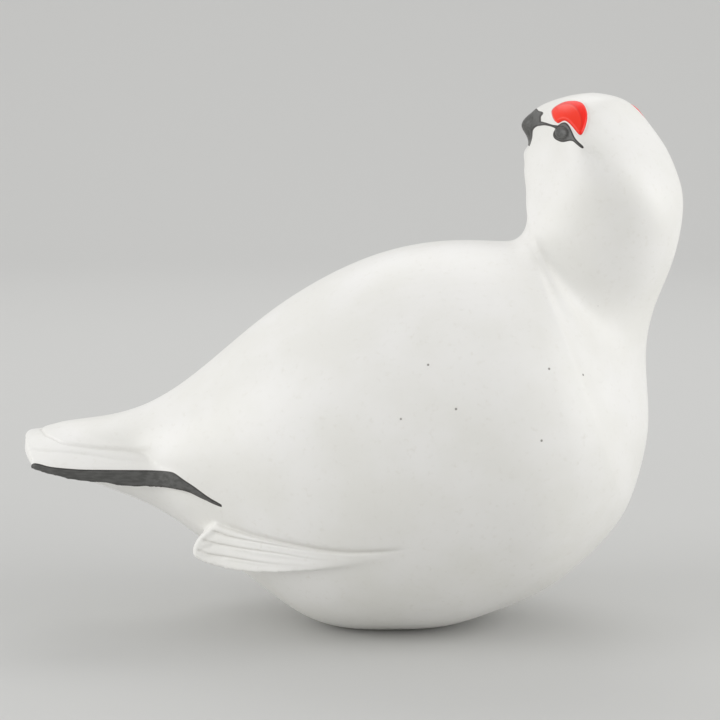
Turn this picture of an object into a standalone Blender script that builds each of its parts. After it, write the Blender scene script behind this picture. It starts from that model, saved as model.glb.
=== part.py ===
"""Grouse figurine: a slip-cast stoneware ptarmigan that looks back over its left shoulder.

The body is one loft from the tail coverts over the belly and breast, up the neck and round to the crown.
The beak, the tail fan, the folded wings, the eye combs and the eyes are shapes of their own, fused to it as in
the plaster mould. A flat foot is ground under the belly, with the vent hole beside its middle.

Lengths are millimetres until the last step. +X is the way the breast faces, +Y is the bird's left, +Z is up, and
the origin is the middle of the flat foot. A head length is measured ahead of the neck's axis, towards the beak.
"""

import math

import bmesh
import bpy
import numpy as np
from mathutils import Matrix, Vector
from mathutils.bvhtree import BVHTree

MM = 0.001

# The finished figure's box, and the vent under its belly
FIGURE_LENGTH = 238.0
FIGURE_WIDTH = 124.0
FIGURE_HEIGHT = 193.5
VENT_DIAMETER = 6.0
VENT_DEPTH = 12.0
VENT_X = -11.0

# The neck's upright axis, and how many degrees short of straight back the head is turned
NECK_X = 74.2
HEAD_TURN_DEG = 38.0

# The body's stations, tail to crown. Each one is a slice through the bird from its back to its belly, or from the
# throat to the nape once the loft has turned up into the neck:
# back x, back z, belly x, belly z, half width, fullness towards the belly, share of the head's turn.
BODY_STATIONS = (
    (-130.5, 71.8, -130.3, 70.8, 0.4, 0.0, 0.0),
    (-128.0, 72.5, -128.0, 66.2, 4.0, 0.0, 0.0),
    (-122.9, 74.2, -122.9, 60.2, 9.5, 0.0, 0.0),
    (-114.9, 75.5, -114.9, 54.2, 15.2, 0.0, 0.0),
    (-105.4, 76.9, -106.9, 50.7, 18.0, 0.0, 0.0),
    (-92.7, 80.9, -94.5, 45.7, 20.2, 0.0, 0.0),
    (-78.5, 89.3, -81.5, 38.6, 28.6, 0.0, 0.0),
    (-63.6, 101.4, -67.3, 27.8, 37.0, 0.0, 0.0),
    (-47.3, 114.7, -51.6, 15.1, 45.5, 0.0, 0.0),
    (-29.8, 126.0, -34.5, 3.2, 53.0, 0.0, 0.0),
    (-12.7, 134.1, -17.5, -1.6, 58.0, 0.0, 0.0),
    (2.9, 138.7, 0.0, -1.8, 61.0, 0.0, 0.0),
    (16.4, 140.5, 17.5, -0.2, 62.0, 0.0, 0.0),
    (27.3, 140.7, 36.4, 6.0, 61.5, 0.0, 0.0),
    (35.6, 140.4, 53.8, 14.4, 59.0, 0.03, 0.0),
    (40.7, 140.7, 69.8, 27.6, 54.0, 0.06, 0.0),
    (43.3, 142.3, 81.5, 42.0, 47.5, 0.08, 0.0),
    (44.7, 144.3, 88.0, 58.6, 41.0, 0.08, 0.1),
    (45.5, 147.2, 90.6, 74.2, 35.5, 0.05, 0.2),
    (45.8, 150.2, 89.6, 89.2, 31.0, 0.0, 0.35),
    (45.6, 153.2, 89.0, 103.2, 28.0, 0.0, 0.5),
    (45.2, 156.7, 91.8, 117.2, 26.4, 0.0, 0.65),
    (44.5, 160.7, 97.2, 131.2, 25.8, 0.03, 0.8),
    (42.9, 165.2, 100.7, 145.2, 25.4, 0.08, 0.9),
    (41.4, 169.2, 100.7, 156.2, 24.8, 0.2, 1.0),
    (40.0, 172.6, 97.2, 165.2, 23.8, 0.36, 1.0),
    (40.7, 176.4, 91.7, 173.7, 22.4, 0.54, 1.0),
    (40.8, 181.4, 85.2, 181.2, 20.3, 0.7, 1.0),
    (42.2, 186.2, 80.5, 187.0, 17.4, 0.72, 1.0),
    (50.0, 190.1, 76.8, 191.0, 12.6, 0.48, 1.0),
    (60.0, 192.6, 72.0, 192.8, 7.2, 0.1, 1.0),
    (66.5, 193.5, 67.2, 193.5, 0.3, 0.0, 1.0),
)
BODY_ROWS = 76
BODY_COLUMNS = 40

# The tail fan, an arched slab: x, half width, where its outer feather ends, side top z, side bottom z, ridge z
TAIL_STATIONS = (
    (-136.9, 20.0, 14.5, 65.2, 63.2, 69.8),
    (-135.5, 22.0, 15.3, 64.0, 61.7, 70.7),
    (-131.0, 23.3, 16.8, 63.1, 61.0, 71.2),
    (-121.5, 24.0, 19.0, 62.4, 58.8, 73.6),
    (-109.5, 24.0, 20.0, 61.7, 57.2, 75.4),
    (-97.0, 24.1, 21.6, 61.4, 56.0, 77.2),
    (-87.0, 25.4, 23.0, 61.6, 55.9, 79.2),
    (-79.3, 29.6, 27.0, 61.0, 55.8, 82.2),
    (-71.8, 33.0, 30.0, 57.0, 54.2, 84.2),
    (-64.5, 35.6, 32.0, 52.5, 51.8, 84.2),
    (-58.0, 30.0, 27.0, 51.2, 49.2, 78.2),
)
TAIL_ROWS = 34
TAIL_FEATHER_STEP = 0.5
TAIL_UNDERSIDE_ARCH = 0.5
TAIL_END_CURVE = 5.7

# A folded wing's primaries: x, crease y, crease z, lower edge y, lower edge z, how deep it reaches inwards
WING_STATIONS = (
    (-73.6, 30.6, 34.5, 30.7, 32.2, 3.0),
    (-72.6, 31.0, 37.2, 31.2, 31.4, 4.5),
    (-70.5, 31.4, 40.0, 32.0, 30.5, 6.5),
    (-67.5, 31.8, 42.8, 33.1, 29.6, 9.0),
    (-64.5, 32.8, 44.8, 34.2, 29.0, 11.0),
    (-58.4, 36.0, 43.3, 36.9, 28.3, 13.0),
    (-48.3, 41.3, 41.4, 41.4, 28.7, 14.0),
    (-36.6, 46.8, 40.1, 46.0, 30.1, 14.0),
    (-26.2, 50.4, 39.0, 49.4, 31.8, 12.0),
    (-16.6, 53.0, 39.2, 51.9, 34.1, 9.0),
    (-8.1, 54.6, 39.8, 53.8, 36.5, 6.0),
    (1.4, 55.8, 41.4, 55.6, 40.6, 3.0),
)
WING_ROWS = 30
FEATHER_SHARES = (0.0, 0.22, 0.47, 0.74, 1.0)
FEATHER_LIFT = 0.9

# The hooked beak, as an outline seen square to the side of the head: length ahead, z
BEAK_OUTLINE = (
    (23.0, 189.0),
    (26.6, 188.2),
    (30.2, 186.8),
    (33.6, 184.8),
    (36.0, 182.0),
    (35.8, 179.0),
    (34.7, 176.0),
    (33.2, 173.0),
    (31.0, 175.0),
    (28.0, 178.0),
    (24.5, 181.0),
    (21.0, 185.0),
)
BEAK_HALF_WIDTH = 4.8
BEAK_RINGS = 7
BEAK_POINTS = 24

# The comb over each eye and the eye under it, as outlines seen square to the side of the head: length ahead, z
COMB_OUTLINE = (
    (12.0, 187.1),
    (10.2, 185.4),
    (8.0, 183.8),
    (5.2, 184.7),
    (2.2, 183.9),
    (-0.4, 182.0),
    (-2.7, 179.7),
    (-3.5, 182.4),
    (-2.9, 185.2),
    (-1.5, 187.4),
    (1.2, 189.4),
    (5.4, 190.4),
    (9.4, 190.0),
)
COMB_LIFT = 0.9
EYE_OUTLINE = (
    (9.0, 178.8),
    (8.6, 180.6),
    (7.0, 182.4),
    (4.4, 183.2),
    (2.2, 182.0),
    (0.4, 180.0),
    (-1.4, 177.8),
    (0.6, 177.6),
    (3.6, 177.1),
    (7.0, 177.3),
)
EYE_LIFT = 0.4
PAD_RINGS = 5
PAD_POINTS = 28
PAD_ROOT = 3.0
HEAD_MIDDLE = (-2.0, 170.0)


def natural_spline(values, closed=False):
    """A smooth curve through values at 0, 1, 2 and so on, as a function that also takes fractions."""
    y = np.array(values, float)
    if closed:
        y = np.vstack((y[-3:], y, y[:4]))
    n = len(y)
    system = np.eye(n)
    right = np.zeros_like(y)
    for i in range(1, n - 1):
        system[i, i - 1 : i + 2] = (1.0, 4.0, 1.0)
        right[i] = 6.0 * (y[i + 1] - 2.0 * y[i] + y[i - 1])
    bend = np.linalg.solve(system, right)

    def at(u):
        u += 3.0 * closed
        i = min(max(int(u), 0), n - 2)
        b = u - i
        a = 1.0 - b
        value = a * y[i] + b * y[i + 1] + ((a**3 - a) * bend[i] + (b**3 - b) * bend[i + 1]) / 6.0
        return value.tolist()

    return at


def loft(rows, columns, place):
    """A closed skin from a flat grid: place(u, v) sets each vertex, v = 0 and 1 meet and both ends are capped."""
    bm = bmesh.new()
    bmesh.ops.create_grid(bm, x_segments=round(rows), y_segments=round(columns), size=0.5)
    for vertex in bm.verts:
        vertex.co = place(vertex.co.x + 0.5, vertex.co.y + 0.5)
    bmesh.ops.remove_doubles(bm, verts=bm.verts, dist=0.001)
    bmesh.ops.holes_fill(bm, edges=[edge for edge in bm.edges if edge.is_boundary])
    bmesh.ops.recalc_face_normals(bm, faces=bm.faces)
    return bm


def head_point(ahead, side, z, turn=1.0):
    """The point that lies so far ahead of the neck's axis and so far to the bird's own left."""
    yaw = -math.radians(HEAD_TURN_DEG) * min(max(turn, 0.0), 1.0)
    forward = Vector((-math.cos(yaw), -math.sin(yaw), 0.0))
    left = Vector((math.sin(yaw), -math.cos(yaw), 0.0))
    return Vector((NECK_X, 0.0, z)) + ahead * forward + side * left


def body_skin():
    station = natural_spline(BODY_STATIONS)

    def place(u, v):
        back_x, back_z, belly_x, belly_z, half_width, fullness, turn = station(u * (len(BODY_STATIONS) - 1))
        along = -math.cos(2.0 * math.pi * v)
        side = math.sin(2.0 * math.pi * v) * (1.0 + fullness * along)
        x = (back_x + belly_x) / 2.0 + (belly_x - back_x) / 2.0 * along
        z = (back_z + belly_z) / 2.0 + (belly_z - back_z) / 2.0 * along
        return head_point(NECK_X - x, half_width * side, z, turn)

    return loft(BODY_ROWS, BODY_COLUMNS, place)


def beak_skin():
    """A pillow on the beak's outline: its two sides bulge from a rounded rim."""
    point = natural_spline(BEAK_OUTLINE, closed=True)
    middle = np.mean(BEAK_OUTLINE, axis=0).tolist()

    def place(u, v):
        angle = math.pi * u
        edge = point(v % 1.0 * len(BEAK_OUTLINE))
        reach = math.sin(angle) ** 0.8
        ahead, z = (centre + (end - centre) * reach for centre, end in zip(middle, edge))
        return head_point(ahead, -BEAK_HALF_WIDTH * math.cos(angle), z)

    return loft(2 * BEAK_RINGS, BEAK_POINTS, place)


def tail_skin():
    station = natural_spline(TAIL_STATIONS)
    shares = (0.0, 0.25, 0.5, 0.75, 0.97)
    half = [("inner", share) for share in shares] + [("outer", 0.0), ("outer", 1.0)]
    top = [(-1, zone, share) for zone, share in reversed(half)] + [(1, zone, share) for zone, share in half[1:]]
    ring = [(1.0, point) for point in top] + [(0.0, point) for point in reversed(top)]

    def place(u, v):
        x, half_width, feather_end, side_top, side_bottom, ridge = station(u * (len(TAIL_STATIONS) - 1))
        upper, (sign, zone, share) = ring[round(v * len(ring)) % len(ring)]
        lateral = feather_end * share if zone == "inner" else feather_end + (half_width - feather_end) * share
        arch = (ridge - side_top) * (1.0 - (lateral / half_width) ** 2)
        step = TAIL_FEATHER_STEP if zone == "inner" else 0.0
        top_z = side_top + arch + step
        bottom_z = side_bottom + arch * TAIL_UNDERSIDE_ARCH
        if u < 0.5 / TAIL_ROWS:
            top_z = bottom_z = (top_z + bottom_z) / 2.0
        x += TAIL_END_CURVE * (lateral / half_width) ** 2 * (1.0 - u) ** 3
        return Vector((x, sign * lateral, top_z if upper else bottom_z))

    return loft(TAIL_ROWS, len(ring), place)


def wing_skin(side):
    station = natural_spline(WING_STATIONS)
    outer = []
    for start, end in zip(FEATHER_SHARES, FEATHER_SHARES[1:]):
        outer += [(start + (end - start) * share, rise) for share, rise in ((0.08, 0.0), (0.45, 0.75), (0.95, 1.0))]
    ring = [(share, rise, 0.0) for share, rise in outer] + [(0.98, 0.0, 0.5), (0.9, 0.0, 1.0), (0.1, 0.0, 1.0)]

    def place(u, v):
        x, crease_y, crease_z, edge_y, edge_z, reach = station(u * (len(WING_STATIONS) - 1))
        share, rise, inwards = ring[round(v * len(ring)) % len(ring)]
        lift = FEATHER_LIFT * rise * (1.0 - u) ** 0.5
        y = crease_y + (edge_y - crease_y) * share + lift - reach * inwards
        return Vector((x, side * y, crease_z + (edge_z - crease_z) * share))

    return loft(WING_ROWS, len(ring), place)


def pad_skin(outline, lift, side, head):
    """A low rounded pad on the side of the head, rooted inside it."""
    point = natural_spline(outline, closed=True)
    middle = np.mean(outline, axis=0).tolist()
    rings = [(ring / PAD_RINGS, 1.0) for ring in range(1, PAD_RINGS + 1)] + [(1.0, 0.0), (0.3, 0.0)]

    def place(u, v):
        reach, raised = rings[min(round(u * (len(rings) - 1)), len(rings) - 1)]
        edge = point(v % 1.0 * len(outline))
        ahead, z = (centre + (end - centre) * reach for centre, end in zip(middle, edge))
        outside = head_point(ahead, side * 2.0 * NECK_X, z)
        inside = head_point(ahead, 0.0, z)
        surface = head.ray_cast(outside, inside - outside)[0]
        if surface is None:
            surface = head.find_nearest(inside)[0]
        outwards = (surface - head_point(HEAD_MIDDLE[0], 0.0, HEAD_MIDDLE[1])).normalized()
        return surface + outwards * (lift * (1.0 - 0.5 * reach**6) if raised else -PAD_ROOT)

    return loft(len(rings) - 1, PAD_POINTS, place)


def add_object(name, bm):
    mesh = bpy.data.meshes.new(name)
    bm.to_mesh(mesh)
    bm.free()
    thing = bpy.data.objects.new(name, mesh)
    bpy.context.scene.collection.objects.link(thing)
    return thing


def grind_foot(figure):
    """Takes off what lies below the foot's plane and closes the flat sole."""
    bm = bmesh.new()
    bm.from_mesh(figure.data)
    bmesh.ops.bisect_plane(
        bm,
        geom=bm.verts[:] + bm.edges[:] + bm.faces[:],
        dist=0.0001,
        plane_co=(0.0, 0.0, 0.0),
        plane_no=(0.0, 0.0, 1.0),
        clear_inner=True,
    )
    bmesh.ops.holes_fill(bm, edges=[edge for edge in bm.edges if edge.is_boundary])
    bmesh.ops.recalc_face_normals(bm, faces=bm.faces)
    bm.to_mesh(figure.data)
    bm.free()


def fit_to_size(figure):
    """Draws the figure out to its named length, width and height, about the middle of its foot."""
    points = np.array([vertex.co for vertex in figure.data.vertices])
    length, width, height = points.max(axis=0) - points.min(axis=0)
    factors = (FIGURE_LENGTH / length, FIGURE_WIDTH / width, FIGURE_HEIGHT / height)
    figure.data.transform(Matrix.LocRotScale(None, None, Vector(factors)))


def cylinder_skin(diameter, length, centre):
    bm = bmesh.new()
    bmesh.ops.create_cone(
        bm,
        cap_ends=True,
        segments=20,
        radius1=diameter / 2.0,
        radius2=diameter / 2.0,
        depth=length,
        matrix=Matrix.Translation(centre),
    )
    return bm


def combine(target, tool, operation):
    """Fuses the tool with the target, or cuts it out, and removes the tool."""
    modifier = target.modifiers.new(tool.name, "BOOLEAN")
    modifier.operation = operation
    modifier.solver = "EXACT"
    modifier.object = tool
    evaluated = target.evaluated_get(bpy.context.evaluated_depsgraph_get())
    result = bpy.data.meshes.new_from_object(evaluated)
    target.modifiers.clear()
    target.data = result
    bpy.data.objects.remove(tool)


def glaze():
    material = bpy.data.materials.new("white_matte_glaze")
    material.use_nodes = True
    shader = material.node_tree.nodes["Principled BSDF"]
    shader.inputs["Base Color"].default_value = (0.86, 0.855, 0.83, 1.0)
    shader.inputs["Roughness"].default_value = 0.5
    shader.inputs["Metallic"].default_value = 0.0
    return material


def main():
    for old in list(bpy.data.objects):
        bpy.data.objects.remove(old)
    body = body_skin()
    head = BVHTree.FromBMesh(body)
    figure = add_object("grouse_figure", body)
    combine(figure, add_object("beak", beak_skin()), "UNION")
    combine(figure, add_object("tail_fan", tail_skin()), "UNION")
    for side in (-1.0, 1.0):
        combine(figure, add_object("wing", wing_skin(side)), "UNION")
        combine(figure, add_object("comb", pad_skin(COMB_OUTLINE, COMB_LIFT, side, head)), "UNION")
        combine(figure, add_object("eye", pad_skin(EYE_OUTLINE, EYE_LIFT, side, head)), "UNION")
    grind_foot(figure)
    fit_to_size(figure)
    vent = cylinder_skin(VENT_DIAMETER, 2.0 * VENT_DEPTH, (VENT_X, 0.0, 0.0))
    combine(figure, add_object("vent", vent), "DIFFERENCE")
    figure.data.transform(Matrix.Scale(MM, 4))
    figure.data.materials.clear()
    figure.data.materials.append(glaze())
    figure.data.shade_smooth()
    figure.data.set_sharp_from_angle(angle=math.radians(35.0))


main()
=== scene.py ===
import math

import bmesh
import bpy
import numpy as np
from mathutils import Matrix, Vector


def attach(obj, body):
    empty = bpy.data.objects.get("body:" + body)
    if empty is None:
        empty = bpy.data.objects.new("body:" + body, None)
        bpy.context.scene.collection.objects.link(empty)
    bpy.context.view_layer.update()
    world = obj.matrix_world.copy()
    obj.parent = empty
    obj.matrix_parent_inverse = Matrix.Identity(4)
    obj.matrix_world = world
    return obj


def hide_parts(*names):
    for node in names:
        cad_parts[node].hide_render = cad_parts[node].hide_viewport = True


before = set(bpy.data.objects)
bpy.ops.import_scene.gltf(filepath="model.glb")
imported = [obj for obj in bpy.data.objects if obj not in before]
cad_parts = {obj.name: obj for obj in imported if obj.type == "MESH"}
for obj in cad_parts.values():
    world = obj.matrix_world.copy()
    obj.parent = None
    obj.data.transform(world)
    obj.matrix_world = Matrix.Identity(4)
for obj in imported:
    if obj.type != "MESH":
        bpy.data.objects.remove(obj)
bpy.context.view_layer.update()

# Lengths in the tables are millimetres: +X is the way the breast faces, +Z up, and -Y the side that shows.
# A head length is measured ahead of the neck's axis, towards the beak.
mm = 0.001
scene = bpy.context.scene


def colourOf(hexCode):  # sRGB hex to the linear values that a shader wants
    parts = [int(hexCode[i:i + 2], 16) / 255 for i in (1, 3, 5)]
    return [c / 12.92 if c <= 0.04045 else ((c + 0.055) / 1.055) ** 2.4 for c in parts] + [1.0]


def addNode(tree, kind, settings=None, links=None):  # one node, its settings and what feeds it
    node = tree.nodes.new(kind)
    for name, value in (settings or {}).items():
        if isinstance(name, int) or name in node.inputs:
            node.inputs[name].default_value = value
        else:
            setattr(node, name, value)
    for name, source in (links or {}).items():
        tree.links.new(source, node.inputs[name])
    return node


def smoothCurve(values, closed=False):  # natural spline through values at 0, 1, 2 ...
    y = np.array(values, float)
    if closed:
        y = np.vstack((y[-3:], y, y[:4]))
    n = len(y)
    system = np.eye(n)
    right = np.zeros_like(y)
    for i in range(1, n - 1):
        system[i, i - 1:i + 2] = (1, 4, 1)
        right[i] = 6 * (y[i + 1] - 2 * y[i] + y[i - 1])
    bend = np.linalg.solve(system, right)

    def at(u):
        u += 3 * closed
        i = min(max(int(u), 0), n - 2)
        b = u - i
        a = 1 - b
        return (a * y[i] + b * y[i + 1] + ((a**3 - a) * bend[i] + (b**3 - b) * bend[i + 1]) / 6).tolist()

    return at


def wrapGrid(rows, columns, place):  # a flat grid rolled into a closed skin
    bm = bmesh.new()
    bmesh.ops.create_grid(bm, x_segments=rows, y_segments=columns, size=0.5)
    for vert in bm.verts:
        vert.co = place(vert.co.x + 0.5, vert.co.y + 0.5)
    bmesh.ops.remove_doubles(bm, verts=bm.verts, dist=0.001)
    bmesh.ops.holes_fill(bm, edges=[edge for edge in bm.edges if edge.is_boundary])
    bmesh.ops.recalc_face_normals(bm, faces=bm.faces)
    return bm


def addObject(name, bm):
    mesh = bpy.data.meshes.new(name)
    bm.to_mesh(mesh)
    bm.free()
    thing = bpy.data.objects.new(name, mesh)
    scene.collection.objects.link(thing)
    return thing


# The body: one skin from the tail coverts over belly and breast, up the neck and round to the crown
bodySet = {
    "neckX": 74.2,  # the neck's upright axis
    "headTurn": 38.0,  # degrees that the head is short of looking straight back
    "rows": 190,
    "columns": 120,
    # back x, back z, belly x, belly z, half width, fullness towards the belly, share of the head's turn
    "stations": (
        (-130.5, 71.8, -130.3, 70.8, 0.4, 0.0, 0.0),
        (-128.0, 72.5, -128.0, 66.2, 4.0, 0.0, 0.0),
        (-122.9, 74.2, -122.9, 60.2, 9.5, 0.0, 0.0),
        (-114.9, 75.5, -114.9, 54.2, 15.2, 0.0, 0.0),
        (-105.4, 76.9, -106.9, 50.7, 18.0, 0.0, 0.0),
        (-92.7, 80.9, -94.5, 45.7, 20.2, 0.0, 0.0),
        (-78.5, 89.3, -81.5, 38.6, 28.6, 0.0, 0.0),
        (-63.6, 101.4, -67.3, 27.8, 37.0, 0.0, 0.0),
        (-47.3, 114.7, -51.6, 15.1, 45.5, 0.0, 0.0),
        (-29.8, 126.0, -34.5, 3.2, 53.0, 0.0, 0.0),
        (-12.7, 134.1, -17.5, -1.6, 58.0, 0.0, 0.0),
        (2.9, 138.7, 0.0, -1.8, 61.0, 0.0, 0.0),
        (16.4, 140.5, 17.5, -0.2, 62.0, 0.0, 0.0),
        (27.3, 140.7, 36.4, 6.0, 61.5, 0.0, 0.0),
        (35.6, 140.4, 53.8, 14.4, 59.0, 0.03, 0.0),
        (40.7, 140.7, 69.8, 27.6, 54.0, 0.06, 0.0),
        (43.3, 142.3, 81.5, 42.0, 47.5, 0.08, 0.0),
        (44.7, 144.3, 88.0, 58.6, 41.0, 0.08, 0.1),
        (45.5, 147.2, 90.6, 74.2, 35.5, 0.05, 0.2),
        (45.8, 150.2, 89.6, 89.2, 31.0, 0.0, 0.35),
        (45.6, 153.2, 89.0, 103.2, 28.0, 0.0, 0.5),
        (45.2, 156.7, 91.8, 117.2, 26.4, 0.0, 0.65),
        (44.5, 160.7, 97.2, 131.2, 25.8, 0.03, 0.8),
        (42.9, 165.2, 100.7, 145.2, 25.4, 0.08, 0.9),
        (41.4, 169.2, 100.7, 156.2, 24.8, 0.2, 1.0),
        (40.0, 172.6, 97.2, 165.2, 23.8, 0.36, 1.0),
        (40.7, 176.4, 91.7, 173.7, 22.4, 0.54, 1.0),
        (40.8, 181.4, 85.2, 181.2, 20.3, 0.7, 1.0),
        (42.2, 186.2, 80.5, 187.0, 17.4, 0.72, 1.0),
        (50.0, 190.1, 76.8, 191.0, 12.6, 0.48, 1.0),
        (60.0, 192.6, 72.0, 192.8, 7.2, 0.1, 1.0),
        (66.5, 193.5, 67.2, 193.5, 0.3, 0.0, 1.0),
    ),
}


def headAxes(turn=1.0):  # the head's forward and sideways directions; the side that shows is positive
    yaw = -math.radians(bodySet["headTurn"]) * min(max(turn, 0), 1)
    return Vector((-math.cos(yaw), -math.sin(yaw), 0)), Vector((math.sin(yaw), -math.cos(yaw), 0))


def headPoint(ahead, side, z, turn=1.0):
    forward, left = headAxes(turn)
    return Vector((bodySet["neckX"], 0, z)) + ahead * forward + side * left


def makeBody():
    station = smoothCurve(bodySet["stations"])
    last = len(bodySet["stations"]) - 1

    def place(u, v):
        backX, backZ, bellyX, bellyZ, halfWidth, fullness, turn = station(u * last)
        along = -math.cos(2 * math.pi * v)
        side = math.sin(2 * math.pi * v) * (1 + fullness * along)
        x = (backX + bellyX) / 2 + (bellyX - backX) / 2 * along
        z = (backZ + bellyZ) / 2 + (bellyZ - backZ) / 2 * along
        return headPoint(bodySet["neckX"] - x, halfWidth * side, z, turn)

    return wrapGrid(bodySet["rows"], bodySet["columns"], place)


# The tail fan, an arched slab whose end bows outwards
tailSet = {
    "rows": 110,
    "featherStep": 0.5,  # the middle feathers stand this far above the outer one
    "undersideArch": 0.5,
    "endCurve": 5.7,
    # x, half width, where the outer feather ends, side top z, side bottom z, ridge z
    "stations": (
        (-136.9, 20.0, 14.5, 65.2, 63.2, 69.8),
        (-135.5, 22.0, 15.3, 64.0, 61.4, 70.7),
        (-131.0, 23.3, 16.8, 63.1, 60.5, 71.2),
        (-121.5, 24.0, 19.0, 62.4, 58.3, 73.6),
        (-109.5, 24.0, 20.0, 61.7, 56.7, 75.4),
        (-97.0, 24.1, 21.6, 61.4, 55.2, 77.2),
        (-87.0, 25.4, 23.0, 61.6, 55.0, 79.2),
        (-79.3, 29.6, 27.0, 61.0, 55.0, 82.2),
        (-71.8, 33.0, 30.0, 57.0, 54.2, 84.2),
        (-64.5, 35.6, 32.0, 52.5, 51.8, 84.2),
        (-58.0, 30.0, 27.0, 51.2, 49.2, 78.2),
    ),
}


def makeTail():
    station = smoothCurve(tailSet["stations"])
    last = len(tailSet["stations"]) - 1
    inner = [i / 12 for i in range(12)] + [0.97]
    half = [("inner", share) for share in inner] + [("outer", share) for share in (0.0, 0.35, 0.7, 1.0)]
    top = [(-1, zone, share) for zone, share in reversed(half)]
    top += [(1, zone, share) for zone, share in half[1:]]
    ring = [(1, point) for point in top] + [(0, point) for point in reversed(top)]

    def place(u, v):
        x, halfWidth, featherEnd, sideTop, sideBottom, ridge = station(u * last)
        upper, (sign, zone, share) = ring[round(v * len(ring)) % len(ring)]
        lateral = featherEnd * share if zone == "inner" else featherEnd + (halfWidth - featherEnd) * share
        arch = (ridge - sideTop) * (1 - (lateral / halfWidth) ** 2)
        topZ = sideTop + arch + (tailSet["featherStep"] if zone == "inner" else 0)
        bottomZ = sideBottom + arch * tailSet["undersideArch"]
        x += tailSet["endCurve"] * (lateral / halfWidth) ** 2 * (1 - u) ** 3
        return Vector((x, sign * lateral, topZ if upper else bottomZ))

    return wrapGrid(tailSet["rows"], len(ring), place)


# The folded wings: four overlapping feathers each
wingSet = {
    "rows": 110,
    "featherShares": (0.0, 0.22, 0.47, 0.74, 1.0),
    "featherLift": 0.9,
    "featherProfile": (  # share across a feather, rise
        (0.05, 0.0), (0.2, 0.4), (0.45, 0.75), (0.7, 0.93), (0.96, 1.0),
    ),
    "innerProfile": ((0.98, 0.5), (0.9, 1.0), (0.1, 1.0)),  # share down the wing, share of its depth
    # x, crease y, crease z, lower edge y, lower edge z, how deep it reaches inwards
    "stations": (
        (-73.6, 30.6, 34.5, 30.7, 32.2, 3.0),
        (-72.6, 31.0, 37.2, 31.2, 31.4, 4.5),
        (-70.5, 31.4, 40.0, 32.0, 30.5, 6.5),
        (-67.5, 31.8, 42.8, 33.1, 29.6, 9.0),
        (-64.5, 32.8, 44.8, 34.2, 29.0, 11.0),
        (-58.4, 36.0, 43.3, 36.9, 28.3, 13.0),
        (-48.3, 41.3, 41.4, 41.4, 28.7, 14.0),
        (-36.6, 46.8, 40.1, 46.0, 30.1, 14.0),
        (-26.2, 50.4, 39.0, 49.4, 31.8, 12.0),
        (-16.6, 53.0, 39.2, 51.9, 34.1, 9.0),
        (-8.1, 54.6, 39.8, 53.8, 36.5, 6.0),
        (1.4, 55.8, 41.4, 55.6, 40.6, 3.0),
    ),
}


def makeWing(side):
    station = smoothCurve(wingSet["stations"])
    last = len(wingSet["stations"]) - 1
    shares = wingSet["featherShares"]
    outer = []
    for start, end in zip(shares, shares[1:]):
        for share, rise in wingSet["featherProfile"]:
            outer.append((start + (end - start) * share, rise))
    ring = [(share, rise, 0) for share, rise in outer]
    ring += [(share, 0, inwards) for share, inwards in wingSet["innerProfile"]]

    def place(u, v):
        x, creaseY, creaseZ, edgeY, edgeZ, reach = station(u * last)
        share, rise, inwards = ring[round(v * len(ring)) % len(ring)]
        lift = wingSet["featherLift"] * rise * (1 - u) ** 0.5
        y = creaseY + (edgeY - creaseY) * share + lift - reach * inwards
        return Vector((x, side * y, creaseZ + (edgeZ - creaseZ) * share))

    return wrapGrid(wingSet["rows"], len(ring), place)


# The hooked beak, a pillow on an outline seen square to the side of the head: length ahead, z
beakSet = {
    "halfWidth": 4.8,
    "fullness": 0.8,  # below 1 its sides swell more
    "rings": 16,
    "points": 60,
    "outline": (
        (23.0, 189.0),
        (26.6, 188.2),
        (30.2, 186.8),
        (33.6, 184.8),
        (36.0, 182.0),
        (35.8, 179.0),
        (34.7, 176.0),
        (33.2, 173.0),
        (31.0, 175.0),
        (28.0, 178.0),
        (24.5, 181.0),
        (21.0, 185.0),
    ),
}


def makeBeak():
    point = smoothCurve(beakSet["outline"], closed=True)
    middle = np.mean(beakSet["outline"], axis=0).tolist()

    def place(u, v):
        edge = point(v % 1.0 * len(beakSet["outline"]))
        reach = math.sin(math.pi * u) ** beakSet["fullness"]
        ahead, z = (centre + (end - centre) * reach for centre, end in zip(middle, edge))
        return headPoint(ahead, -beakSet["halfWidth"] * math.cos(math.pi * u), z)

    return wrapGrid(beakSet["rings"], beakSet["points"], place)


# The slip cast that fuses them, with the foot ground flat and a vent up into the belly
castSet = {
    "voxel": 0.6,  # fine enough to keep the feather steps
    "smoothing": 4,
    "keep": 0.155,  # share of the faces that stays
    "wingEdgeStarts": (0.0, 0.1, 0.2, 0.3, 0.45, 0.6),  # each pass starts further along the wing's edge
    "wingEdgeReach": (1.5, 4.0),  # half width of the first pass, and how much the passes gain
    "wingEdgeRelax": 5,
    "fanEdgeReach": 1.6,  # how near to the fan's side edges the glaze rounds them
    "fanEdgeRelax": 6,
    "tailEnd": -131.5,  # the glaze rounds the tail's end behind here
    "tailEndRelax": 5,
    "tipped": 0.2,  # a face's normal agrees less than this with a corner's once it has tipped over
    "tippedRelax": 4,
    "refinements": ((1.1, 0.9), (0.6, 0.55), (0.45, 0.42)),  # how near to a line, longest edge there
    "detailReach": 1.0,
    "detailRelax": 2,
    "shortest": 0.02,  # shorter edges are closed up
    "wingEdge": (  # where the wing's lower edge melts into the flank: x, z
        (-40.0, 29.8), (-28.0, 32.0), (-18.0, 34.5), (-8.0, 37.2), (2.0, 40.4),
    ),
    "ventX": -11.0,
    "ventProfile": (  # radius, z
        (0.0, -0.6), (4.0, -0.6), (3.4, 0.3), (3.0, 0.9), (3.0, 12.0), (0.0, 12.0),
    ),
    "ventSteps": 40,
}


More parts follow.
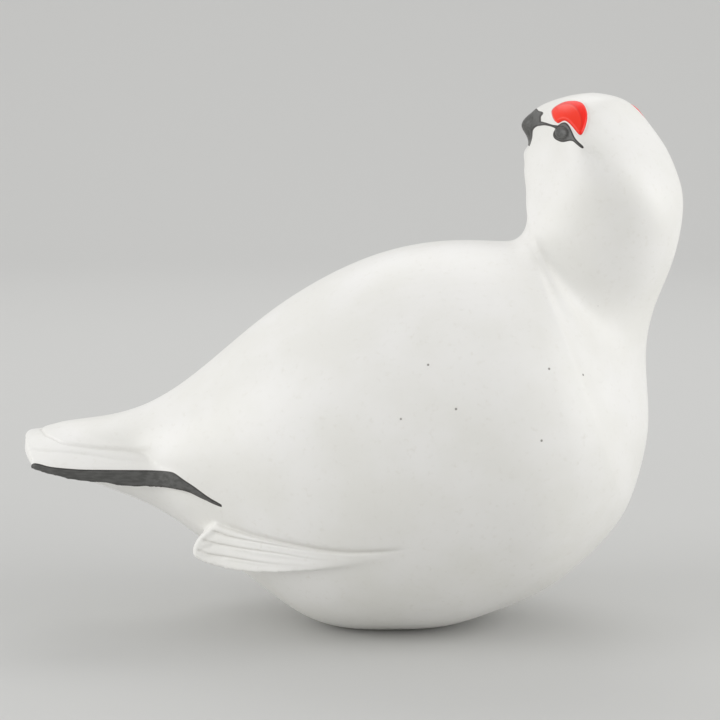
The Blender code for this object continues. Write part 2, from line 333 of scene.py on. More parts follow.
def castFigure():
    whole = bmesh.new()
    for part in (makeBody(), makeTail(), makeWing(-1), makeWing(1), makeBeak()):
        rough = bpy.data.meshes.new("rough")
        part.to_mesh(rough)
        part.free()
        whole.from_mesh(rough)
        bpy.data.meshes.remove(rough)
    cast = addObject("rough", whole)
    fuse = cast.modifiers.new("fuse", "REMESH")
    fuse.mode = "VOXEL"
    fuse.voxel_size = castSet["voxel"]
    soften = cast.modifiers.new("soften", "SMOOTH")
    soften.iterations = castSet["smoothing"]
    thin = cast.modifiers.new("thin", "DECIMATE")
    thin.ratio = castSet["keep"]
    return takeMesh(cast)


def takeMesh(thing):  # the mesh that its modifiers make, without the object
    bm = bmesh.new()
    bm.from_object(thing, bpy.context.evaluated_depsgraph_get())
    bpy.data.objects.remove(thing)
    return bm


def makeTriangles(bm):
    bmesh.ops.triangulate(bm, faces=[face for face in bm.faces if len(face.verts) > 3])


def chosen(bm, where):  # the vertices that a row of trues and falses picks
    bm.verts.ensure_lookup_table()
    return [bm.verts[i] for i in np.flatnonzero(where)]


def cutShorter(bm, verts, longest):  # halves the edges at these vertices that are longer than this
    edges = {edge for vert in verts for edge in vert.link_edges if edge.calc_length() > longest}
    bmesh.ops.subdivide_edges(bm, edges=list(edges), cuts=1, use_grid_fill=True)
    makeTriangles(bm)


def relax(bm, verts, times):
    for _ in range(times):
        bmesh.ops.smooth_vert(
            bm, verts=verts, factor=0.5, use_axis_x=True, use_axis_y=True, use_axis_z=True)


def unfold(bm):  # a sliver that relaxing has tipped over goes back between its neighbours
    bm.normal_update()
    tipped = []
    for vert in bm.verts:
        if min(face.normal.dot(vert.normal) for face in vert.link_faces) < castSet["tipped"]:
            tipped.append(vert)
    relax(bm, tipped, castSet["tippedRelax"])


def grindFoot(bm):
    bmesh.ops.bisect_plane(
        bm, geom=bm.verts[:] + bm.edges[:] + bm.faces[:], dist=0.0001,
        plane_co=(0, 0, 0), plane_no=(0, 0, 1), clear_inner=True)
    bmesh.ops.holes_fill(bm, edges=[edge for edge in bm.edges if edge.is_boundary])
    makeTriangles(bm)


def boreVent(bm):  # a round hole whose mouth the wet sponge has eased
    tool = bmesh.new()
    profile = [tool.verts.new((castSet["ventX"] + radius, 0, z)) for radius, z in castSet["ventProfile"]]
    edges = [tool.edges.new(pair) for pair in zip(profile, profile[1:])]
    bmesh.ops.spin(
        tool, geom=profile + edges, cent=(castSet["ventX"], 0, 0), axis=(0, 0, 1),
        angle=2 * math.pi, steps=castSet["ventSteps"], use_merge=True)
    bmesh.ops.remove_doubles(tool, verts=tool.verts, dist=0.001)
    bmesh.ops.recalc_face_normals(tool, faces=tool.faces)
    drill = addObject("drill", tool)
    cast = addObject("rough", bm)
    cut = cast.modifiers.new("vent", "BOOLEAN")
    cut.operation = "DIFFERENCE"
    cut.solver = "EXACT"
    cut.object = drill
    bored = takeMesh(cast)
    bpy.data.objects.remove(drill)
    makeTriangles(bored)
    return bored


print("casting the figure")
bm = castFigure()
print("cast with", len(bm.faces), "faces")


# What is modelled and painted. The head is drawn as seen from headTurn degrees ahead of square to its side:
# millimetres ahead of the neck's axis, and z. Both sides of the head and of the tail follow the same lines.
# A line is cut as a groove of the given depth and width. Its fade is four shares of the line's length: it
# starts, is full, thins and ends there. Its pool is how strongly grey shade is painted into it.
faceSet = {
    "comb": (
        (20.9, 187.0), (20.9, 185.7), (20.6, 184.6), (20.0, 183.7), (19.3, 183.3), (18.6, 183.6),
        (17.8, 184.1), (16.8, 184.1), (15.5, 183.0), (14.1, 181.3), (13.0, 179.9), (12.3, 179.5),
        (11.5, 180.0), (10.2, 182.6), (9.4, 185.7), (9.5, 187.8), (10.2, 189.7), (11.4, 190.6),
        (13.0, 190.9), (15.4, 190.7), (17.6, 189.9), (19.4, 188.8), (20.4, 187.9),
    ),
    "combLift": 0.85,
    "combSlope": (-0.05, 0.8),  # it rises between these depths inside its border
    "combMoat": {"depth": 0.12, "width": 0.2, "outside": 0.35},
    "farTrim": 1.6,  # the far comb was painted this much smaller above a height that it fades in to
    "farTrimZ": (180.0, 186.0),
    "combFold": {  # a fold that runs along the comb's upper and rear border
        "line": (
            (18.6, 188.7), (16.9, 189.2), (15.3, 189.3), (14.0, 188.9), (12.9, 187.9), (12.1, 186.3),
            (11.7, 184.4), (11.7, 182.6), (12.1, 181.2),
        ),
        "depth": 0.12, "width": 0.45, "fade": (0.0, 0.15, 1.0, 2.0),
    },
    "drop": (  # the dark drop round the eye, and the thin stroke behind it
        (20.8, 179.3), (20.5, 180.6), (19.8, 182.0), (18.7, 183.2), (17.6, 183.7), (16.6, 183.4),
        (15.8, 182.4), (15.1, 181.0), (14.5, 179.5), (13.8, 178.2), (12.5, 176.8), (11.3, 175.6),
        (11.5, 175.0), (12.6, 175.5), (14.2, 176.9), (15.0, 177.4), (15.9, 177.4), (16.9, 177.1),
        (18.2, 176.9), (19.5, 177.3), (20.5, 178.1),
    ),
    "eye": (18.2, 180.1),
    "eyeRadius": 2.0,
    "eyeLift": 0.6,
    "eyeMoat": {"depth": 0.14, "width": 0.25, "outside": 0.15},
    "darkLift": 0.15,  # the dark glaze lies this thick
    "darkSlope": (-0.05, 0.25),
    "bridle": (  # the dark line from the eye to the beak
        (25.4, 183.3), (22.2, 183.0), (20.6, 182.6), (19.0, 182.3), (19.2, 181.2), (20.9, 181.8),
        (22.3, 182.1), (23.6, 182.0), (25.4, 181.6),
    ),
    "mask": (  # the dark glaze over the beak and its root
        (25.6, 189.2), (24.3, 187.4), (24.0, 186.8), (23.2, 186.6), (23.3, 185.8), (23.8, 184.9),
        (23.9, 183.5), (24.2, 182.1), (25.2, 181.1), (26.0, 179.8), (26.4, 178.6), (26.7, 177.1),
        (27.1, 175.3), (27.7, 174.4), (28.9, 175.2), (30.0, 178.0), (31.0, 182.0), (30.0, 187.0),
        (27.5, 190.2),
    ),
    "hook": (170.3, 175.4, 176.2, 181.5),  # z where the front draws in under the beak's tip, from and to
    "hookAhead": (26.0, 30.0),
    "hookDepth": 1.1,
    "cheekLine": {  # a soft crease behind the eye
        "line": ((11.6, 175.8), (9.6, 174.1), (7.8, 172.8), (6.5, 171.2), (6.3, 169.2), (6.6, 167.0)),
        "depth": 0.6, "width": 1.3, "fade": (0.0, 0.2, 0.6, 1.0),
    },
}

tailPaintSet = {
    "band": (  # dark glaze on the fan's edge that runs out along the flank: x, z
        (-131.5, 62.5), (-130.8, 63.4), (-129.6, 63.6), (-127.2, 63.2), (-123.6, 62.5), (-116.5, 61.9),
        (-109.4, 61.6), (-94.3, 61.5), (-85.3, 61.7), (-81.5, 61.8), (-79.2, 61.2), (-76.0, 59.3),
        (-72.4, 57.3), (-67.0, 54.0), (-63.2, 52.1), (-62.8, 51.4), (-63.6, 51.1), (-68.9, 52.8),
        (-72.4, 54.2), (-76.1, 55.4), (-80.7, 55.7), (-85.3, 55.7), (-91.0, 55.6), (-98.0, 55.5),
        (-104.0, 55.4), (-109.0, 55.2), (-120.0, 56.0), (-128.0, 58.6), (-131.0, 60.6),
    ),
    "bandWrap": 1.1,  # how far it laps over the fan's top and under it
    "covertEdge": {  # the rounded edge where the tail coverts lie on the fan: x, distance from the middle
        "line": (
            (-130.8, 0.0), (-130.2, 2.9), (-127.9, 8.6), (-125.7, 11.1), (-122.1, 14.4), (-117.4, 16.3),
            (-111.0, 17.4), (-103.8, 18.2), (-94.7, 19.4), (-89.1, 21.7), (-86.3, 23.7), (-83.4, 25.9),
            (-80.5, 28.3),
        ),
        "depth": 0.22, "width": 0.35, "fade": (-1.0, 0.0, 0.6, 0.9), "outside": 0.3,
        "pool": 0.16, "paintedShadeWidth": 0.5,
    },
    "covertLift": 0.5,
    "covertSlope": (-0.2, 0.7),  # they rise between these distances inside the edge
    "covertMelt": (2.0, 12.0),  # and melt into the back between these
    "featherEdge": {  # one feather's edge between the coverts and the band
        "line": (
            (-134.6, 15.0), (-132.7, 15.8), (-126.2, 17.7), (-117.0, 19.2), (-108.0, 20.2), (-99.0, 21.4),
            (-89.1, 22.9), (-83.4, 26.2),
        ),
        "depth": 0.2, "width": 0.35, "fade": (-1.0, 0.0, 0.6, 0.95), "pool": 0.06,
    },
}

wingLineSet = {
    "root": {  # the groove along the wing's upper edge: x, z
        "line": (
            (-66.2, 44.9), (-61.9, 43.6), (-58.3, 42.9), (-53.8, 41.9), (-49.3, 41.2), (-40.5, 40.2),
            (-31.8, 39.3), (-23.1, 38.7), (-14.5, 38.9), (-6.0, 39.7), (3.0, 41.2),
        ),
        "depth": 0.75, "width": 0.55, "fade": (0.0, 0.1, 0.8, 1.0),
        "pool": 0.34, "paintedShadeWidth": 0.7, "paintedShadeFade": (0.0, 0.3, 0.9, 1.0),
    },
    "rootSlope": 1.6,  # the flank slopes down to the wing's steeper edge over a groove this much wider
    "feathers": {  # the grooves between the four feathers
        "lines": (
            (
                (-67.3, 41.8), (-62.8, 40.6), (-58.3, 39.9), (-49.3, 39.4), (-38.7, 38.8), (-30.0, 38.2),
                (-18.0, 37.5),
            ),
            (
                (-70.6, 38.3), (-66.0, 37.3), (-62.9, 36.9), (-53.8, 36.5), (-42.3, 36.3), (-31.8, 35.6),
                (-21.5, 35.5),
            ),
            ((-72.2, 34.5), (-69.2, 33.7), (-66.5, 33.0), (-58.3, 32.7), (-46.7, 32.4), (-31.0, 33.1)),
        ),
        "depth": 0.4, "width": 0.4, "fade": (0.0, 0.06, 0.55, 1.0), "pool": 0.3,
    },
}

# Where each group of lines can lie. A vertex outside it is taken to be farAway from them
surveySet = {
    "farAway": 20.0,
    "headZ": 165,
    "headAhead": -16,
    "cheekSide": 8,
    "tailX": -55,
    "tailZ": 48,
    "fanX": -76,
    "fanZ": 55,
    "fanEdgeX": -70,
    "wingMiddle": (-35, 36),  # x, z
    "wingReach": (42, 12),
    "wingY": 24,
    "fanSteps": 60,
    "atOnce": 4000,  # vertices measured at one time, to spare memory
}


def ease(value, low, high):  # 0 at low, 1 at high, smooth between
    share = np.clip((value - low) / (high - low), 0, 1)
    return share * share * (3 - 2 * share)


def ridge(gap, width):  # 1 on a line, falling smoothly to 0 at a few widths from it
    return np.exp(-((gap / width) ** 2))


def traced(points, closed, steps=8):  # a smooth line through the points as short straight lengths
    curve = smoothCurve(points, closed)
    last = len(points) - (0 if closed else 1)
    count = last * steps
    return np.array([curve(i / steps) for i in range(count if closed else count + 1)])


def nearestOn(spots, start, end):  # distance to a run of lengths, which length is nearest, how far along it
    span = end - start
    gap, nearest, along = (np.empty(len(spots)) for _ in range(3))
    count = surveySet["atOnce"]
    for i in range(0, len(spots), count):
        spot = spots[i:i + count, None, :]
        share = np.clip(((spot - start) * span).sum(-1) / (span**2).sum(-1), 0, 1)
        reach = np.linalg.norm(spot - start - span * share[..., None], axis=-1)
        best = reach.argmin(axis=1)
        rows = np.arange(len(best))
        gap[i:i + count] = reach[rows, best]
        nearest[i:i + count] = best
        along[i:i + count] = (best + share[rows, best]) / len(start)
    return gap, nearest.astype(int), along


def depthInside(spots, points):  # millimetres inside a closed outline, negative outside it
    start = traced(points, True)
    end = np.roll(start, -1, axis=0)
    gap = nearestOn(spots, start, end)[0]
    inside = np.zeros(len(spots), bool)
    for a, b in zip(start, end):
        if a[1] != b[1]:
            crosses = (a[1] > spots[:, 1]) != (b[1] > spots[:, 1])
            crossing = a[0] + (spots[:, 1] - a[1]) / (b[1] - a[1]) * (b[0] - a[0])
            inside ^= crosses & (spots[:, 0] < crossing)
    return np.where(inside, gap, -gap)


def lineGap(spots, points):  # distance to an open line, positive on its left, and how far along it
    line = traced(points, False)
    gap, nearest, along = nearestOn(spots, line[:-1], line[1:])
    span = (line[1:] - line[:-1])[nearest]
    away = spots - line[:-1][nearest]
    return gap * np.sign(span[:, 0] * away[:, 1] - span[:, 1] * away[:, 0]), along


def survey(bm):  # every depth and distance that the modelling and the paint need, in millimetres
    bm.verts.ensure_lookup_table()
    bm.normal_update()
    place = np.array([vert.co for vert in bm.verts])
    upward = np.array([vert.normal.z for vert in bm.verts])
    forward, left = (np.array(axis) for axis in headAxes())
    fromNeck = place - (bodySet["neckX"], 0, 0)
    turn = math.radians(bodySet["headTurn"])
    ahead, side = fromNeck @ forward, np.abs(fromNeck @ left)
    face = np.column_stack((ahead * math.cos(turn) + side * math.sin(turn), place[:, 2]))
    flank = place[:, [0, 2]]
    plan = np.column_stack((place[:, 0], np.abs(place[:, 1])))

    def depthOver(where, spots, points):
        depth = np.full(len(place), -surveySet["farAway"])
        depth[where] = depthInside(spots[where], points)
        return depth

    def gapOver(where, spots, points):
        gap = np.full(len(place), surveySet["farAway"])
        along = np.zeros(len(place))
        gap[where], along[where] = lineGap(spots[where], points)
        return gap, along

    head = (place[:, 2] > surveySet["headZ"]) & (ahead > surveySet["headAhead"])
    cheek = head & (side > surveySet["cheekSide"])
    tail = (place[:, 0] < surveySet["tailX"]) & (place[:, 2] > surveySet["tailZ"])
    fan = (place[:, 0] < surveySet["fanX"]) & (upward > 0) & (place[:, 2] > surveySet["fanZ"])
    wing = (np.abs(flank - surveySet["wingMiddle"]) < surveySet["wingReach"]).all(axis=1)
    wing &= plan[:, 1] > surveySet["wingY"]
    red = depthOver(head, face, faceSet["comb"])
    red -= faceSet["farTrim"] * (fromNeck @ left < 0) * ease(place[:, 2], *faceSet["farTrimZ"])
    dark = np.full(len(place), -surveySet["farAway"])
    for name in ("drop", "bridle", "mask"):
        dark = np.maximum(dark, depthOver(head, face, faceSet[name]))
    band = depthOver(tail, flank, tailPaintSet["band"])
    steps = [i / surveySet["fanSteps"] for i in range(surveySet["fanSteps"] + 1)]
    fanCurve = smoothCurve(tailSet["stations"])
    rows = [fanCurve(u * (len(tailSet["stations"]) - 1)) for u in steps]
    fanX = [row[0] + tailSet["endCurve"] * (1 - u) ** 3 for u, row in zip(steps, rows)]
    fanEdge = np.interp(place[:, 0], fanX, [row[1] for row in rows])
    band = np.minimum(band, plan[:, 1] - fanEdge + tailPaintSet["bandWrap"])
    found = {
        "red": red,
        "dark": np.maximum(dark, band),
        "eye": np.where(head, np.linalg.norm(face - faceSet["eye"], axis=1), surveySet["farAway"]),
        "fold": gapOver(cheek, face, faceSet["combFold"]["line"]),
        "cheek": gapOver(cheek, face, faceSet["cheekLine"]["line"]),
        "fanGap": np.where(
            place[:, 0] < surveySet["fanEdgeX"], np.abs(plan[:, 1] - fanEdge), surveySet["farAway"]),
        "covert": gapOver(fan, plan, tailPaintSet["covertEdge"]["line"]),
        "feather": gapOver(fan, plan, tailPaintSet["featherEdge"]["line"]),
        "root": gapOver(wing, flank, wingLineSet["root"]["line"]),
        "vanes": [gapOver(wing, flank, line) for line in wingLineSet["feathers"]["lines"]],
        "wingEdge": gapOver(wing, flank, castSet["wingEdge"]),
        "ahead": ahead,
    }
    return place, found


def nearDetail(found, reach):  # how close each vertex is to a painted edge or a modelled line
    gaps = [found["red"], found["dark"], found["fold"][0], found["covert"][0], found["feather"][0]]
    gaps += [found["root"][0]] + [vane[0] for vane in found["vanes"]]
    near = np.min(np.abs(gaps), axis=0) < reach
    return near | (np.abs(found["eye"] - faceSet["eyeRadius"]) < reach)


# the wing's lower edge and the tail's end are softened before any line is cut
place, found = survey(bm)
edge, along = found["wingEdge"]
reach, gain = castSet["wingEdgeReach"]
for start in castSet["wingEdgeStarts"]:
    near = (np.abs(edge) < reach + gain * start) & (along > start)
    relax(bm, chosen(bm, near), castSet["wingEdgeRelax"])
relax(bm, chosen(bm, found["fanGap"] < castSet["fanEdgeReach"]), castSet["fanEdgeRelax"])
relax(bm, chosen(bm, place[:, 0] < castSet["tailEnd"]), castSet["tailEndRelax"])
unfold(bm)
grindFoot(bm)
bm = boreVent(bm)
print("foot ground and vent bored")

for reach, longest in castSet["refinements"]:
    place, found = survey(bm)
    cutShorter(bm, chosen(bm, nearDetail(found, reach)), longest)
    print("refined to", len(bm.faces), "faces")
place, found = survey(bm)
relax(bm, chosen(bm, nearDetail(found, castSet["detailReach"])), castSet["detailRelax"])
bmesh.ops.dissolve_degenerate(bm, dist=castSet["shortest"], edges=bm.edges)
makeTriangles(bm)
print("cleaned to", len(bm.faces), "faces")


def groove(measured, cut, width="width", fade="fade"):  # 1 in a line's middle, 0 beside and beyond it
    gap, along = measured
    start, full, thin, end = cut.get(fade, cut["fade"])
    across = ridge(gap - cut.get("outside", 0.0), cut.get(width, cut["width"]))
    return across * ease(along, start, full) * (1 - ease(along, thin, end))


def moat(beyond, cut):  # how deep the groove is that runs at a set distance outside a border
    return cut["depth"] * ridge(beyond - cut["outside"], cut["width"])


def cutLines(bm):  # lifts the combs, eyes and coverts, and presses in the lines round them
    place, found = survey(bm)
    eyeGap = found["eye"] - faceSet["eyeRadius"]
    roundness = np.clip(1 - (found["eye"] / faceSet["eyeRadius"]) ** 2, 0, 1)
    lift = faceSet["combLift"] * ease(found["red"], *faceSet["combSlope"])
    lift -= moat(-found["red"], faceSet["combMoat"])
    lift += faceSet["eyeLift"] * np.sqrt(roundness)
    lift -= moat(eyeGap, faceSet["eyeMoat"])
    lift += faceSet["darkLift"] * ease(found["dark"], *faceSet["darkSlope"])
    low, lowFull, highFull, high = faceSet["hook"]
    hook = ease(place[:, 2], low, lowFull) * (1 - ease(place[:, 2], highFull, high))
    lift -= faceSet["hookDepth"] * hook * ease(found["ahead"], *faceSet["hookAhead"])
    covert, along = found["covert"]
    rise = ease(-covert, *tailPaintSet["covertSlope"]) * (1 - ease(-covert, *tailPaintSet["covertMelt"]))
    fadeStart, fadeEnd = tailPaintSet["covertEdge"]["fade"][2:]
    lift += tailPaintSet["covertLift"] * (1 - ease(along, fadeStart, fadeEnd)) * rise
    root, along = found["root"]
    root = np.where(root > 0, root / wingLineSet["rootSlope"], root), along
    lines = [
        (found["fold"], faceSet["combFold"]),
        (found["cheek"], faceSet["cheekLine"]),
        (found["covert"], tailPaintSet["covertEdge"]),
        (found["feather"], tailPaintSet["featherEdge"]),
        (root, wingLineSet["root"]),
    ]
    lines += [(vane, wingLineSet["feathers"]) for vane in found["vanes"]]
    pooled = np.zeros(len(place))  # how much shade is painted into a line, 0 to 1
    for measured, cut in lines:
        lift -= cut["depth"] * groove(measured, cut)
        pooled += cut.get("pool", 0.0) * groove(measured, cut, "paintedShadeWidth", "paintedShadeFade")
    for i in np.flatnonzero(np.abs(lift) > 0.001):
        vert = bm.verts[i]
        vert.co += vert.normal * float(lift[i])
    found["pooled"] = pooled
    return found


found = cutLines(bm)
# the comb's fold and the eye's moat, where shade is painted into the glaze
eyeBorder = faceSet["eyeRadius"] + faceSet["eyeMoat"]["outside"]
creaseShadeGap = np.minimum(np.abs(found["fold"][0]), np.abs(found["eye"] - eyeBorder))
bmesh.ops.scale(bm, vec=(mm, mm, mm), verts=bm.verts)
figure = addObject("grouseStoneware", bm)
missed = found["fold"][0] == surveySet["farAway"]
foldSide = np.where(missed, -surveySet["farAway"], found["fold"][0])
paint = {
    "redDepth": found["red"], "darkDepth": found["dark"], "creaseShadeGap": creaseShadeGap,
    "foldSide": foldSide, "eyeGap": found["eye"], "pooledGlaze": found["pooled"]}
for name, values in paint.items():
    layer = figure.data.attributes.new(name, "FLOAT", "POINT")
    layer.data.foreach_set("value", values.astype(np.float32))
figure.data.shade_smooth()
print("modelled the face, the tail and the wings")


# Stoneware fired under a satin-matte white glaze, with brushed red and dark glazes
glazeSet = {
    "white": "#EEEDE8",
    "whiteThick": "#F3F2EF",  # where the glaze lies thicker
    "whiteThin": "#E8E6E0",  # small spots where the clay shows through
    "whiteGrooveShade": "#B9B6AE",  # painted shade: the grooves are greyed
    "cloudSize": 25.0,
    "grainSize": 2.0,
    "red": "#FF3A24",
    "redShadedBevel": "#FF1F0C",  # painted shade: a darker red on the comb's bevel beyond its fold
    # darker red at the comb's rim, and painted shade along its fold
    "redLine": "#DA1C10",
    "dark": "#61615F",
    "darkThick": "#51514F",
    "darkPaintedHighlight": "#75777A",  # painted highlight: the dark glaze is paler on the crown of the eye
    "darkEdge": "#363331",  # the dark glaze pools brownish black along its borders; the same colour is painted into the eye's moat as shade
    "strokeWidth": 1.1,
    "clay": "#D8D1C3",
    "speck": "#5C554C",
    "speckRadii": (0.2, 0.6),  # dark to the first, gone at the second
    "specks": (  # iron specks burnt through the glaze: x, y, z
        (68.6, -23.5, 120.1), (8.4, -53.4, 104.0), (17.6, -59.4, 90.0), (-0.8, -58.3, 86.4),
        (46.5, -58.2, 79.0), (61.6, -44.4, 99.1), (49.4, -50.6, 102.2), (-20.0, 55.5, 82.0),
    ),
    "whiteRoughness": 0.42,
    "paintRoughness": 0.36,
    "whiteSheen": 0.5,  # specular level
    "paintSheen": 0.35,  # lower, or the lamps would wash the red out
}


def whiteStonewareGlaze():  # satin-matte: a broad soft sheen, never a sharp highlight
    material = bpy.data.materials.new("whiteStonewareGlaze")
    material.use_nodes = True
    tree = material.node_tree
    shader = tree.nodes["Principled BSDF"]
    where = addNode(tree, "ShaderNodeTexCoord").outputs["Object"]
    red = addNode(tree, "ShaderNodeAttribute", {"attribute_name": "redDepth"}).outputs["Fac"]
    dark = addNode(tree, "ShaderNodeAttribute", {"attribute_name": "darkDepth"}).outputs["Fac"]
    creaseShade = addNode(tree, "ShaderNodeAttribute", {"attribute_name": "creaseShadeGap"}).outputs["Fac"]
    fold = addNode(tree, "ShaderNodeAttribute", {"attribute_name": "foldSide"}).outputs["Fac"]
    eye = addNode(tree, "ShaderNodeAttribute", {"attribute_name": "eyeGap"}).outputs["Fac"]

    def fadeIn(source, low, high, first=0.0, last=1.0):
        settings = {"interpolation_type": "SMOOTHSTEP", 1: low, 2: high, 3: first, 4: last}
        return addNode(tree, "ShaderNodeMapRange", settings, {0: source}).outputs[0]

    def mixed(share, first, second):  # colours are names in glazeSet or sockets
        settings, links = {"data_type": "RGBA"}, {0: share}
        for slot, value in ((6, first), (7, second)):
            if isinstance(value, str):
                settings[slot] = colourOf(glazeSet[value])
            else:
                links[slot] = value
        return addNode(tree, "ShaderNodeMix", settings, links).outputs[2]

    # noise scales are one over the real size of what they draw
    cloudScale = 1 / (glazeSet["cloudSize"] * mm)
    grainScale = 1 / (glazeSet["grainSize"] * mm)
    strokeScale = 1 / (glazeSet["strokeWidth"] * mm)
    cloud = addNode(tree, "ShaderNodeTexNoise", {2: cloudScale, 3: 3.0}, {0: where}).outputs[0]
    grain = addNode(tree, "ShaderNodeTexNoise", {2: grainScale, 3: 2.0}, {0: where}).outputs[0]
    white = mixed(fadeIn(cloud, 0.3, 0.7), "white", "whiteThick")
    white = mixed(fadeIn(grain, 0.55, 0.95), white, "whiteThin")
    # painted shade: the grooves are greyed where they would lie in shade
    pooled = addNode(tree, "ShaderNodeAttribute", {"attribute_name": "pooledGlaze"}).outputs["Fac"]
    white = mixed(pooled, white, "whiteGrooveShade")

    # brush strokes run along the figure, four times as long as they are wide
    stretch = addNode(tree, "ShaderNodeMapping", {"vector_type": "TEXTURE", 3: (4.0, 1.0, 1.0)}, {0: where})
    strokes = addNode(tree, "ShaderNodeTexNoise", {2: strokeScale, 3: 3.0}, {0: stretch.outputs[0]})
    stroke = strokes.outputs[0]
    darkFill = mixed(fadeIn(stroke, 0.35, 0.65), "darkThick", "dark")
    darkFill = mixed(fadeIn(dark, 0.2, 0.6), "darkEdge", darkFill)
    # painted highlight on the crown of the eye
    darkFill = mixed(fadeIn(eye, 0.2, 1.6, 0.1, 0.0), darkFill, "darkPaintedHighlight")
    # painted shade in the eye's moat
    darkFill = mixed(fadeIn(creaseShade, 0.05, 0.35, 0.45, 0.0), darkFill, "darkEdge")
    # painted shade on the comb's bevel beyond the fold
    redFill = mixed(fadeIn(fold, -0.5, 0.5), "redShadedBevel", "red")
    # painted shade along the comb's fold
    redFill = mixed(fadeIn(creaseShade, 0.0, 0.6, 0.45, 0.0), redFill, "redLine")
    redFill = mixed(fadeIn(red, 0.0, 0.35), "redLine", redFill)

    colour = mixed(fadeIn(red, -0.1, 0.1), white, redFill)
    colour = mixed(fadeIn(dark, -0.1, 0.1), colour, darkFill)
    for speck in glazeSet["specks"]:
        settings = {"operation": "DISTANCE", 1: [length * mm for length in speck]}
        gap = addNode(tree, "ShaderNodeVectorMath", settings, {0: where}).outputs["Value"]
        solid, rim = (radius * mm for radius in glazeSet["speckRadii"])
        colour = mixed(fadeIn(gap, solid, rim, 0.8, 0.0), colour, "speck")
    height = addNode(tree, "ShaderNodeSeparateXYZ", None, {0: where}).outputs[2]
    colour = mixed(fadeIn(height, 0.1 * mm, 0.5 * mm, 1.0, 0.0), colour, "clay")  # the foot is wiped bare
    tree.links.new(colour, shader.inputs["Base Color"])
    # the red and dark glazes melt smoother than the white
    painted = addNode(tree, "ShaderNodeMath", {"operation": "MAXIMUM"}, {0: red, 1: dark}).outputs[0]
    gloss = fadeIn(painted, -0.1, 0.1, glazeSet["whiteRoughness"], glazeSet["paintRoughness"])
    tree.links.new(gloss, shader.inputs["Roughness"])
    sheen = fadeIn(painted, -0.1, 0.1, glazeSet["whiteSheen"], glazeSet["paintSheen"])
    tree.links.new(sheen, shader.inputs["Specular IOR Level"])
    skin = addNode(tree, "ShaderNodeBump", {"Strength": 0.1, "Distance": 0.1 * mm}, {"Height": grain})
    tree.links.new(skin.outputs[0], shader.inputs["Normal"])
    return material


figure.data.materials.append(whiteStonewareGlaze())
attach(figure, "root")
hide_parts("grouse_figure")
print("glazed")


# A paper sweep, soft light all round and the photograph's camera
studioSet = {
    "paper": "#CBCBC9",
    "paperFar": "#E7E7E5",  # paler towards the back, which the lamps reach less
    "sweepHalfWidth": 4,
    "sweepFront": -3,  # metres, y
    "sweepBend": 1.2,  # where the floor starts to curve up
    "sweepRadius": 1.2,
    "worldStrength": 0.61,
    "aim": (0, 0, 0.1),
    "softboxes": {  # place, width and height in metres, then watts
        "rearBox": ((0.0, 0.8, 1.15), (1.0, 0.8), 3.3),
        "leftBox": ((-1.2, -0.35, 0.5), (0.8, 0.9), 7.2),
        "rightBox": ((1.2, -0.3, 0.5), (0.8, 1.0), 7.3),
    },
}


def makeSweep():  # a flat floor that curves up behind
    bm = bmesh.new()
    front, bend = studioSet["sweepFront"], studioSet["sweepBend"]
    corners = [bm.verts.new((side * studioSet["sweepHalfWidth"], front, 0)) for side in (-1, 1)]
    edge = bm.edges.new(corners)
    flat = bmesh.ops.extrude_edge_only(bm, edges=[edge])["geom"]
    verts = [part for part in flat if isinstance(part, bmesh.types.BMVert)]
    bmesh.ops.translate(bm, verts=verts, vec=(0, bend - front, 0))
    far = [part for part in bm.edges if all(vert in verts for vert in part.verts)]
    bmesh.ops.spin(
        bm, geom=far + verts, cent=(0, bend, studioSet["sweepRadius"]), axis=(1, 0, 0),
        angle=math.radians(90), steps=32, use_merge=False)
    bmesh.ops.recalc_face_normals(bm, faces=bm.faces)
    sweep = addObject("paperSweep", bm)
    sweep.data.shade_smooth()
    return sweep


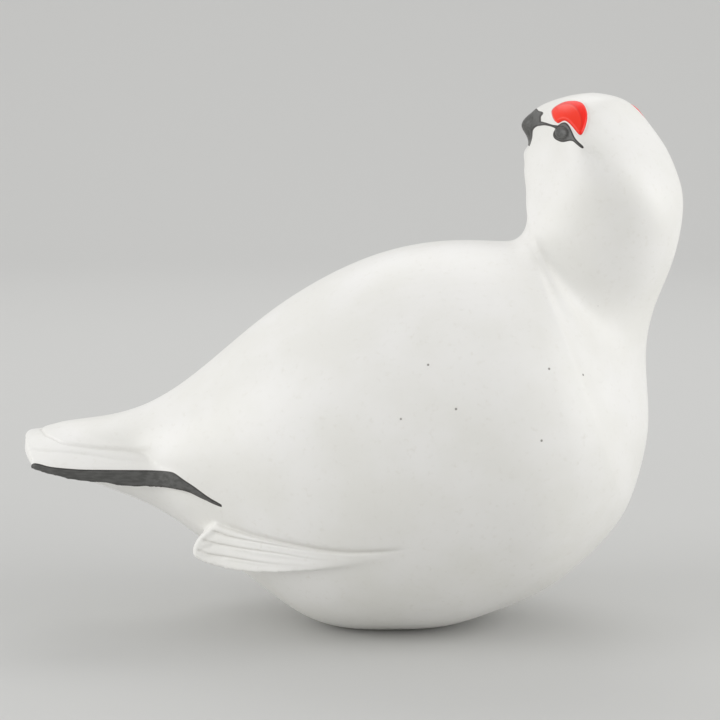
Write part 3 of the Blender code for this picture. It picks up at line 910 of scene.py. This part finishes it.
def greyPaper():  # uncoated background paper: dead matte
    material = bpy.data.materials.new("paleGreyPaper")
    material.use_nodes = True
    shader = material.node_tree.nodes["Principled BSDF"]
    tree = material.node_tree
    where = addNode(tree, "ShaderNodeTexCoord").outputs["Object"]
    depth = addNode(tree, "ShaderNodeSeparateXYZ", None, {0: where}).outputs[1]
    share = addNode(tree, "ShaderNodeMapRange", {1: 0.2, 2: 2.0}, {0: depth}).outputs[0]
    settings = {"data_type": "RGBA", 6: colourOf(studioSet["paper"]), 7: colourOf(studioSet["paperFar"])}
    colour = addNode(tree, "ShaderNodeMix", settings, {0: share}).outputs[2]
    tree.links.new(colour, shader.inputs["Base Color"])
    shader.inputs["Roughness"].default_value = 0.9
    return material


sweep = makeSweep()
sweep.data.materials.append(greyPaper())

world = bpy.data.worlds.new("studioFill")
scene.world = world
world.use_nodes = True
world.node_tree.nodes["Background"].inputs["Color"].default_value = (1, 1, 1, 1)
world.node_tree.nodes["Background"].inputs["Strength"].default_value = studioSet["worldStrength"]


def addSoftbox(name, place, size, power):
    lamp = bpy.data.lights.new(name, "AREA")
    lamp.shape = "RECTANGLE"
    lamp.size, lamp.size_y = size
    lamp.energy = power
    box = bpy.data.objects.new(name, lamp)
    box.location = place
    box.rotation_euler = (Vector(studioSet["aim"]) - Vector(place)).to_track_quat("-Z", "Y").to_euler()
    scene.collection.objects.link(box)


for name, (place, size, power) in studioSet["softboxes"].items():
    addSoftbox(name, place, size, power)

cameraSet = {
    "lens": 100.0,
    "elevation": 9.0,
    "perPixel": 0.3636 * mm,  # real size of one pixel of the 720 px frame at the figure
    "middle": (400, 629),  # pixel where the foot's middle stands
    "footDrop": 1.8 * mm,  # the aim lies this much lower than those two values give
}
tilt = math.radians(cameraSet["elevation"])
distance = 720 * cameraSet["perPixel"] * cameraSet["lens"] / 36
target = Vector((
    (360 - cameraSet["middle"][0]) * cameraSet["perPixel"],
    0,
    (cameraSet["middle"][1] - 360) * cameraSet["perPixel"] / math.cos(tilt) - cameraSet["footDrop"]))
lens = bpy.data.cameras.new("photoCamera")
lens.lens = cameraSet["lens"]
camera = bpy.data.objects.new("photoCamera", lens)
camera.location = target + distance * Vector((0, -math.cos(tilt), math.sin(tilt)))
camera.rotation_euler = (math.pi / 2 - tilt, 0, 0)
scene.collection.objects.link(camera)
scene.camera = camera
scene.view_settings.view_transform = "Standard"

print("lit and framed")
